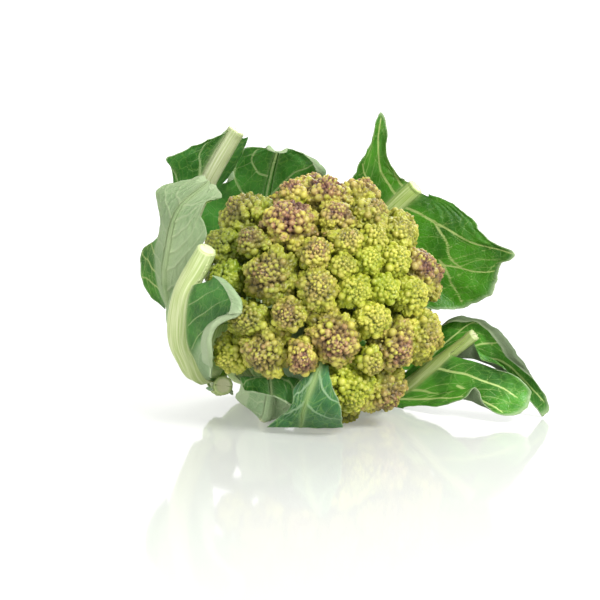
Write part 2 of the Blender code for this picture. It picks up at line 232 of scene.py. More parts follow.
def curdFinish():
    finish = Finish("curdFlesh", Specular_IOR_Level=0.4, Subsurface_Weight=0.06,
                    Subsurface_Radius=(0.0012, 0.001, 0.0003), Subsurface_Scale=1.0)
    # bud holds each point's tone, its hollow (a painted shade mask: 0 on the bud tops, rising on their sides,
    # in the crevices and between lobes) and its mauve blush
    tone, hollow, blush = finish.parts("bud")
    # tone holds the mauve share of the gap colour (shade) and the painted shade under the left leaves, with a
    # random tone for each floret (own)
    shade, own = finish.parts("tone")[:2]
    cloud = finish.noise(55, 3)
    fine = finish.noise(900, 2)
    lime = finish.mix(cloud.steps(0.35, 0.7), (0.28, 0.35, 0.016), (0.49, 0.54, 0.045))
    gold = finish.mix(cloud.steps(0.3, 0.7), (0.47, 0.45, 0.035), (0.71, 0.62, 0.085))
    flesh = finish.mix(tone * 0.75, lime, gold)
    mauve = finish.mix(fine.steps(0.3, 0.7), (0.24, 0.080, 0.078), (0.45, 0.21, 0.135))
    flesh = finish.mix((blush * (0.65 + fine * 0.6)).clamp() * 0.85, flesh, mauve)
    # painted highlight: a pale cream mixed onto the bud tops, where hollow is near 0
    flesh = finish.mix((1 - hollow.steps(0.0, 0.14)) * 0.3, flesh, (0.78, 0.70, 0.20))
    # painted shade: the buds' sides and the gaps between them turn olive green, or purple brown on mauve
    # florets; the hue is partly their own colour, the darkness is painted shade
    side = finish.mix(shade, (0.26, 0.31, 0.010), (0.19, 0.075, 0.050))
    flesh = finish.mix(hollow.steps(0.08, 0.60) * 0.85, flesh, side)
    # painted shade: darker still down in the hollows between buds and lobes
    paintedDeepShade = finish.mix(shade, (0.110, 0.145, 0.003), (0.055, 0.016, 0.020))
    flesh = finish.mix(hollow.steps(0.50, 1.0) * 0.9, flesh, paintedDeepShade)
    # painted shade: the colour is multiplied darker and greener where the leaves on the left shade the curd,
    # with a little random tone for each floret
    flesh = finish.mix(1.0, flesh, finish.mix(own, (0.97, 0.97, 0.97), (0.50, 0.62, 0.42)), "MULTIPLY")
    height = fine * 0.6 + finish.noise(2600, 1) * 0.4
    return finish.feed(Base_Color=flesh, Roughness=0.34 + fine * 0.2,
                       Normal=finish.bump(height, 0.25, 0.0003))


def leafFinish():
    # place is along and across in millimetres and the vein; kind is outside, rib and cut face;
    # more is depth in the cut, tint and pale rim; light is a factor for inside, outside and rib
    finish = Finish("leafSheet", Specular_IOR_Level=0.45)
    along, across, vein = finish.parts("place")
    outside, rib, cut = finish.parts("kind")
    depth, tint, pale = finish.parts("more")
    innerLight, outerLight, ribLight = finish.parts("light")
    bend = finish.noise(70, 2)
    flat = finish.add("ShaderNodeCombineXYZ", None, {0: along + bend * 5, 1: across + bend * 4, 2: 0.0})
    net, lace = (finish.add("ShaderNodeTexVoronoi", {"feature": "DISTANCE_TO_EDGE"},
                            {"Vector": flat, "Scale": scale}) for scale in (0.17, 0.55))
    cloud = finish.noise(40, 4)
    grain = finish.noise(500, 3)
    netMask = 1 - net.steps(0.0, 0.07)
    laceMask = 1 - lace.steps(0.0, 0.16)
    veinMask = vein.steps(0.18, 0.72)
    inner = finish.mix(cloud.steps(0.32, 0.68), (0.020, 0.100, 0.006), (0.075, 0.290, 0.014))
    blueGreen = finish.mix(cloud.steps(0.35, 0.65), (0.010, 0.060, 0.022), (0.045, 0.150, 0.075))
    inner = finish.mix(tint * 0.8, inner, blueGreen)
    inner = finish.mix(laceMask * 0.22, inner, (0.09, 0.24, 0.035))
    inner = finish.mix(netMask * 0.35, inner, (0.20, 0.36, 0.07))
    veinColour = finish.mix(tint, (0.50, 0.60, 0.20), (0.30, 0.44, 0.24))
    inner = finish.mix(veinMask * (0.9 - tint * 0.25), inner, veinColour)
    bloom = finish.mix(cloud.steps(0.3, 0.7), (0.24, 0.36, 0.165), (0.42, 0.54, 0.29))
    bloom = finish.mix(tint * 0.5, bloom, (0.16, 0.30, 0.17))
    bloom = finish.mix(laceMask * 0.3, bloom, (0.38, 0.48, 0.28))
    bloom = finish.mix(netMask * 0.4, bloom, (0.42, 0.52, 0.30))
    bloom = finish.mix(veinMask * 0.45, bloom, (0.50, 0.58, 0.34))
    leaf = finish.mix(outside, finish.times(inner, innerLight), finish.times(bloom, outerLight))
    leaf = finish.mix(pale, leaf, (0.50, 0.61, 0.36))
    stripes = finish.add("ShaderNodeTexNoise", None, {
        "Vector": finish.add("ShaderNodeCombineXYZ", None, {0: along * 0.03, 1: across * 1.1, 2: 0.0}),
        "Scale": 1.0, "Detail": 3.0})
    ribColour = finish.mix(stripes.steps(0.35, 0.7), (0.40, 0.55, 0.12), (0.68, 0.77, 0.34))
    paleRib = finish.mix(stripes.steps(0.35, 0.7), (0.56, 0.63, 0.30), (0.84, 0.86, 0.56))
    ribColour = finish.mix(((tint - 0.15) / 0.45).clamp(), ribColour, paleRib)
    ribColour = finish.mix(((tint - 0.6) * 2.0).clamp(), ribColour, (0.15, 0.29, 0.07))
    leaf = finish.mix(rib, leaf, finish.times(ribColour, ribLight))
    face = finish.mix(depth.steps(0.55, 0.9), (0.90, 0.90, 0.55), (0.62, 0.74, 0.30))
    leaf = finish.mix(cut, leaf, face)
    height = (vein * 0.8 + netMask * 0.45 + laceMask * 0.3) * (outside * 2 - 1) * (1 - rib) + grain * 0.3
    rough = 0.30 + outside * 0.22 + grain * 0.15
    finish.feed(Base_Color=leaf, Roughness=rough, Normal=finish.bump(height, 0.55, 0.0006))
    finish.seeThrough((0.20, 0.47, 0.04, 1), 0.28)
    return finish.material


def stalkFinish():
    finish = Finish("stalkFlesh", Specular_IOR_Level=0.4, Subsurface_Weight=0.1,
                    Subsurface_Radius=(0.002, 0.002, 0.001), Subsurface_Scale=1.0)
    along, ring, cut = finish.parts("place")
    cloud = finish.noise(50, 4)
    grain = finish.noise(600, 2)
    skin = finish.mix(cloud.steps(0.3, 0.7), (0.30, 0.42, 0.13), (0.50, 0.60, 0.28))
    skin = finish.mix(along.steps(-8, 30), skin, (0.10, 0.17, 0.03))
    face = finish.mix(ring.steps(0.62, 0.86), (0.72, 0.76, 0.50), (0.38, 0.50, 0.20))
    face = finish.mix(grain.steps(0.5, 0.8) * 0.4, face, (0.55, 0.50, 0.28))
    colour = finish.mix(cut, skin, face)
    return finish.feed(Base_Color=colour, Roughness=0.4 + grain * 0.25,
                       Normal=finish.bump(grain + cloud, 0.3, 0.0006))


print("materials")
curdFlesh = curdFinish()
leafSheet = leafFinish()
stalkFlesh = stalkFinish()


curd = {
    "density": 32.0,  # mesh points for each square millimetre of radius, rounded to whole steps
    "meshStep": 2000,
    "fewestSteps": 3,
    "mostSteps": 9,
    "bulge": 1.12,  # from a floret's middle to its tip, in radii
    "stemFoot": 27.0,  # where the stems end, from the heart
    "flatBelow": -76.0,  # only the floret with the flat spot reaches lower than this
    "headFrom": 60.0,  # its head is further than this from the heart
    "topShare": 0.91,  # of the points lie on the floret's head, the rest on its stem
    "topAngle": 122.0,  # the head reaches round this far from its tip
    "tipBud": 0.95,  # bud radius at the tip
    "packing": 3.9,
    "sink": 0.78,  # how much of its radius a bud sits inside the outline
    "cluster": 3.1,  # a bud larger than this is itself a cluster of small buds
    "hollow": 1.5,  # depth between buds, in bud radii
    "lobe": 0.42,  # half width of a lobe, in radians
    "relief": 0.13,  # height of a lobe, in floret radii
}
goldenTurn = math.pi * (3 - math.sqrt(5))
templates = {}


def curdTemplate(count):  # evenly spread directions round one floret, joined into triangles by their hull
    if count in templates:
        return templates[count]
    spread = (np.arange(count) + 0.5) / count
    level = 1 - 2 * spread
    turn = np.arange(count) * goldenTurn
    across = np.sqrt(1 - level**2)
    points = np.stack([across * np.cos(turn), across * np.sin(turn), level], 1)
    bm = bmesh.new()
    for point in points:
        bm.verts.new(point)
    bmesh.ops.convex_hull(bm, input=bm.verts[:])
    bm.verts.index_update()
    faces = np.array([[v.index for v in face.verts] for face in bm.faces])
    bm.free()
    corners = points[faces]
    outward = dot(np.cross(corners[:, 1] - corners[:, 0], corners[:, 2] - corners[:, 0]), corners.mean(1))
    faces[outward < 0] = faces[outward < 0][:, ::-1]
    templates[count] = spread, turn, faces
    return templates[count]


def acrossOf(direction):  # two directions across another
    direction = np.asarray(direction, float)
    helper = np.array([0, 0, 1.0]) if abs(direction[2]) < 0.9 else np.array([1.0, 0, 0])
    first = unit(np.cross(helper, direction))
    return first, np.cross(direction, first)


def spiralOf(sizeAt, radius, most, packing):
    # polar angles of buds in a golden spiral, each taking the room that its size needs
    angles, angle = [], 0.03
    while angle < most:
        angles.append(angle)
        room = 2 * math.pi * math.sin(min(max(angle, 0.07), 3.0))
        angle += packing * (sizeAt(angle) / radius) ** 2 / room
    return np.array(angles)


smallAngles = spiralOf(lambda angle: 0.22 + 0.12 * angle, 0.8, 2.1, 3.5)
smallSizes = 0.22 + 0.12 * smallAngles


def spotted(place, amount, spots):
    # a number from 0 to 1 over the face of the curd: each spot is x, z, width and how much it adds
    for x, z, wide, much in spots:
        amount += much * math.exp(-((place[0] - x) ** 2 + (place[2] - z) ** 2) / (2 * wide**2))
    return min(max(amount, 0.0), 1.0)


def blushAt(place):  # how mauve the curd is there: the top and the middle most, the right and the foot least
    spots = ((42, 12, 22, -0.6), (-66, 12, 18, -0.45), (25, -64, 16, -0.45), (-62, -50, 16, -0.4),
             (7, 70, 22, 0.35), (-22, 46, 18, 0.4), (4, -18, 16, 0.3), (-19, -33, 16, 0.3),
             (70, 24, 10, 0.7), (48, -60, 12, 0.4), (50, -30, 10, 0.35), (-45, 20, 12, 0.3))
    return spotted(place, 0.46, spots)


def paintedShadeAt(place):  # painted shade: how much darker and greener it is made, most under the leaves on the left
    spots = ((-64, 22, 22, 0.85), (-38, -2, 14, 0.35), (-60, 58, 14, 0.5), (-30, -38, 16, 0.2),
             (30, 60, 18, 0.1), (60, -62, 16, 0.25), (8, 8, 12, 0.15))
    return spotted(place, 0.08, spots)


def outermostBud(rays, angles, least, places, sizes, axis):
    # how far the outermost bud reaches along every ray, and which one it is, or -1 where least is further
    farAway = np.linalg.norm(places, axis=1)
    polar = angleOf(places @ axis / farAway)
    wide = np.arcsin(np.clip(sizes / farAway, 0, 1))
    squared = farAway**2 - sizes**2
    reachOut, which = least.copy(), np.full(len(rays), -1)
    batch = 400
    for start in range(0, len(rays), batch):
        part = slice(start, start + batch)
        near = np.nonzero((polar + wide > angles[part].min()) & (polar - wide < angles[part].max()))[0]
        towards = rays[part] @ places[near].T
        inside = towards**2 - squared[near]
        far = np.where(inside > 0, towards + np.sqrt(np.maximum(inside, 0)), -1)
        best = far.argmax(1)
        value = far[np.arange(len(best)), best]
        better = value > reachOut[part]
        reachOut[part] = np.where(better, value, reachOut[part])
        which[part] = np.where(better, near[best], -1)
    return reachOut, which


def makeFloret(name, seed):
    dice = np.random.default_rng(seed)
    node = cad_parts[name]
    corners = toHead([v.co for v in node.data.vertices])
    fromHeart = corners - np.array(heart)
    lengths = np.linalg.norm(fromHeart, axis=1)
    axis = unit(fromHeart[np.argmax(lengths)])
    if fromHeart[:, 2].min() < curd["flatBelow"]:  # the one that rests has lost its tip
        axis = unit(fromHeart[lengths > curd["headFrom"]].mean(0))
    heights = fromHeart @ axis
    reach = heights.max()
    widths = np.linalg.norm(fromHeart - heights[:, None] * axis, axis=1)
    radius = 0.5 * (widths.max() + np.median(widths[widths > 0.6 * widths.max()]))
    middle = np.array(heart) + axis * (reach - curd["bulge"] * radius)
    first, second = acrossOf(axis)
    tree = BVHTree.FromPolygons([Vector(p) for p in corners], [p.vertices[:] for p in node.data.polygons])
    meshSteps = round(curd["density"] * radius**2 / curd["meshStep"])
    meshSteps = min(max(meshSteps, curd["fewestSteps"]), curd["mostSteps"])
    spread, turn, faces = curdTemplate(meshSteps * curd["meshStep"])

    def ray(angle, side):
        return (axis[None, :] * np.cos(angle)[:, None] + (first[None, :] * np.cos(side)[:, None]
                + second[None, :] * np.sin(side)[:, None]) * np.sin(angle)[:, None])

    def lobeRoom(angle):
        return curd["lobe"] * (0.55 + 0.45 * min(angle, 1.0)) * radius

    lobeAngles = spiralOf(lobeRoom, radius, 1.9, 4.2)
    lobeAngles = lobeAngles[lobeAngles > 0.3]
    lobeTurns = np.arange(len(lobeAngles)) * goldenTurn + seed * 1.7
    lobeCount = len(lobeAngles)
    lobes = ray(lobeAngles + dice.normal(0, 0.03, lobeCount), lobeTurns + dice.normal(0, 0.1, lobeCount))
    lobeWide = curd["lobe"] * (0.62 + 0.5 * np.minimum(lobeAngles, 1.0)) * dice.uniform(0.85, 1.15, lobeCount)

    def swell(rays):  # 1 in the middle of a lobe, 0 between the lobes
        apart = angleOf(rays @ lobes.T) / lobeWide
        cap = np.sqrt(np.maximum(1 - apart.min(1) ** 2, 0))
        tip = angleOf(rays @ axis) / 0.34
        return np.maximum(cap, np.sqrt(np.maximum(1 - tip**2, 0)))

    def outline(rays):
        found = np.full(len(rays), radius)
        start = Vector(middle)
        for i, direction in enumerate(rays):
            hit = tree.ray_cast(start, Vector(direction))[3]
            if hit is not None:
                found[i] = hit
        peak = np.exp(-(angleOf(rays @ axis) / 0.42) ** 2)
        return found + radius * (curd["relief"] * (swell(rays) - 0.6) + 0.06 * peak)

    # buds, from the tip outwards
    tipBud = curd["tipBud"] * (0.75 + radius / 75)
    middleBud = min(max(0.125 * radius, 1.5), 2.4)
    sideBud = min(max(0.31 * radius, 2.6), 6.0)

    def sizeAt(angle):
        towardsMiddle = (middleBud - tipBud) * np.minimum(angle / 0.8, 1.0)
        return tipBud + towardsMiddle + (sideBud - middleBud) * smoothStep(angle, 0.68, 1.3)

    angles = spiralOf(sizeAt, radius, math.radians(curd["topAngle"] + 10), curd["packing"])
    count = len(angles)
    sizes = sizeAt(angles) * dice.uniform(0.76, 1.2, count)
    sides = np.arange(count) * goldenTurn + seed + dice.normal(0, 0.06, count)
    budRays = ray(angles + dice.normal(0, 0.02, count), sides)
    budReach = outline(budRays)
    lift = dice.uniform(-0.3, 0.3, count) * sizes * np.where(sizes > 3, 0.7, 1)
    sink = np.where(sizes > 3, 0.66, curd["sink"])
    centres = middle + budRays * (budReach - sink * sizes + lift)[:, None]
    amount = blushAt(middle + axis * radius * 0.8)
    tipness = np.clip(1 - angles / math.radians(curd["topAngle"]), 0, 1)
    budBlush = amount * (0.05 + 1.5 * tipness**1.3) * dice.uniform(0.15, 1.4, count)
    budTone = np.clip(0.1 + 0.55 * amount + 0.75 * (tipness - 0.3) + dice.normal(0, 0.15, count), 0, 1)
    cluster = sizes > curd["cluster"]
    balls = [(centres, np.where(cluster, 0.72, 1.0) * sizes, budBlush, budTone)]
    for i in np.nonzero(cluster)[0]:
        lead = unit(budRays[i] + 0.4 * axis)
        one, two = acrossOf(lead)
        swing = np.arange(len(smallAngles)) * goldenTurn + dice.uniform(0, 6.28)
        sideways = one * np.cos(swing)[:, None] + two * np.sin(swing)[:, None]
        rays = lead * np.cos(smallAngles)[:, None] + sideways * np.sin(smallAngles)[:, None]
        small = smallSizes * sizes[i] * dice.uniform(0.85, 1.15, len(rays))
        atTip = np.clip(1 - smallAngles / 1.5, 0, 1)
        balls.append((centres[i] + rays * (sizes[i] - 0.8 * small)[:, None], small,
                      amount * (0.05 + 1.2 * atTip) * dice.uniform(0.1, 1.2) + 0.2 * budBlush[i],
                      np.clip(budTone[i] + 0.35 * atTip + dice.normal(0, 0.12, len(rays)), 0, 1)))

    def fillAt(angle):  # small ones low down, between the others
        return np.minimum(0.42 * sizeAt(angle), 1.25)

    fillAngles = spiralOf(fillAt, radius, math.radians(curd["topAngle"]), 6.5)
    fillSizes = fillAt(fillAngles) * dice.uniform(0.7, 1.25, len(fillAngles))
    fillRays = ray(fillAngles, -np.arange(len(fillAngles)) * goldenTurn + 1.0)
    fillReach = outline(fillRays) - sizeAt(fillAngles) * dice.uniform(0.7, 1.1, len(fillAngles))
    balls.append((middle + fillRays * fillReach[:, None], fillSizes,
                  amount * dice.uniform(0.1, 0.9, len(fillSizes)), dice.uniform(0.0, 0.6, len(fillSizes))))
    ballPlace, ballSize, ballBlush, ballTone = (np.concatenate(parts) for parts in zip(*balls))

    # the surface: how far out the outermost bud reaches in every direction
    onTop = spread < curd["topShare"]
    rimAngle = math.radians(curd["topAngle"])
    topAngles = np.arccos(1 - spread[onTop] / curd["topShare"] * (1 - math.cos(rimAngle)))
    rays = ray(topAngles, turn[onTop])
    skin = outline(rays)
    local = sizeAt(topAngles)
    least = skin - curd["hollow"] * local
    reachOut, which = outermostBud(rays, topAngles, least, ballPlace - middle, ballSize, axis)
    top = middle + rays * reachOut[:, None]
    own = np.maximum(which, 0)
    # painted shade: hollow grows on each bud's sides away from its top, down in the crevices between buds and
    # in the gaps between lobes, and is high where no bud reaches; the finish darkens the colour by it
    facing = dot(unit(top - ballPlace[own]), rays)
    depth = (skin - reachOut) / (1.45 * local)
    hollow = 0.74 * np.clip(1 - facing, 0, 1) ** 1.5 + 0.5 * np.clip(depth, 0, 1) ** 1.2
    hollow = np.where(which >= 0, hollow, 0.9)
    hollow = hollow + (0.2 + 0.4 * amount) * (1 - swell(rays)) ** 2.2
    blush = np.where(which >= 0, ballBlush[own], 0.5 * amount)
    tone = np.where(which >= 0, ballTone[own], 0.0)
    shade = np.clip(amount * (1.25 * (1 - topAngles / 1.9) + 0.25), 0, 1)

    # the stem, down to the core of the stalk
    down = (spread[~onTop] - curd["topShare"]) / (1 - curd["topShare"])
    rim = outline(ray(np.full(len(down), rimAngle), turn[~onTop])) - curd["hollow"] * sideBud
    rimHigh, rimWide = rim * math.cos(rimAngle), np.maximum(rim * math.sin(rimAngle), 1.5)
    foot = curd["stemFoot"] - (reach - curd["bulge"] * radius)
    fall = np.minimum(down / 0.9, 1)
    high = rimHigh + (foot - rimHigh) * fall**0.9
    wide = rimWide * (1 - 0.55 * fall**1.1) * np.clip((1 - down) / 0.1, 0, 1) ** 0.5
    flat = first[None, :] * np.cos(turn[~onTop])[:, None] + second[None, :] * np.sin(turn[~onTop])[:, None]
    stem = middle + axis * high[:, None] + flat * wide[:, None]

    rowPoints = toRow(np.vstack([top, stem]))
    rowPoints[:, 2] = np.maximum(rowPoints[:, 2], 0.0002)  # it rests on the table
    none = np.zeros(len(stem))
    # painted shade under the left leaves, plus a little random tone for each floret
    paintedShadeAndTone = np.full(len(rowPoints), paintedShadeAt(middle + axis * radius * 0.8) + dice.uniform(0, 0.2))
    # painted shade: the stems get a fixed hollow of 0.6, which gives them the darker gap colour
    stored = {
        "bud": np.stack([np.concatenate([tone, none + 0.2]), np.concatenate([hollow, none + 0.6]),
                         np.concatenate([blush, none])], 1),
        "tone": np.stack([np.concatenate([shade, none]), paintedShadeAndTone, np.zeros(len(rowPoints))], 1),
    }
    piece = newMesh(name.replace("floret_", "floret"), toHead(rowPoints), [faces], curdFlesh, stored)
    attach(piece, "root")
    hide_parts(name)


print("curd")
floretNames = sorted(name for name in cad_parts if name.startswith("floret_"))
for number, name in enumerate(floretNames):
    makeFloret(name, number + 1)


sheet = {
    "thickness": 0.9, "edgeThickness": 0.4, "ribArc": 12, "footOut": 22.0, "footIn": 14.0,
    "step": 0.95, "mostRows": 350, "mostColumns": 64,  # a mesh step, and the most of them in a leaf
    # rings that close in over a leaf's cut end: share of its radius, depth
    "cut": ((0.93, 0.5), (0.8, 0.7), (0.55, 0.3), (0.25, 0.0)),
}

# foot: angle round the stalk, distance down it; thick: the rib's width at its foot and at its tip;
# proud: how far the rib stands out behind the blade; flush: it lies in the blade; uncut: a whole tip;
# tint: 0 is yellow green, 1 blue green; light: factors for inside, outside and rib; veins: their width;
# span: where along the rib the blade starts and ends; mid and edge: points half way and all the way out;
# curl: start, bend radius, way, from, to; dark, swap: where the blade takes its other face's colours;
# rim: where a pale margin starts and ends; lines: main veins as places along and across the blade

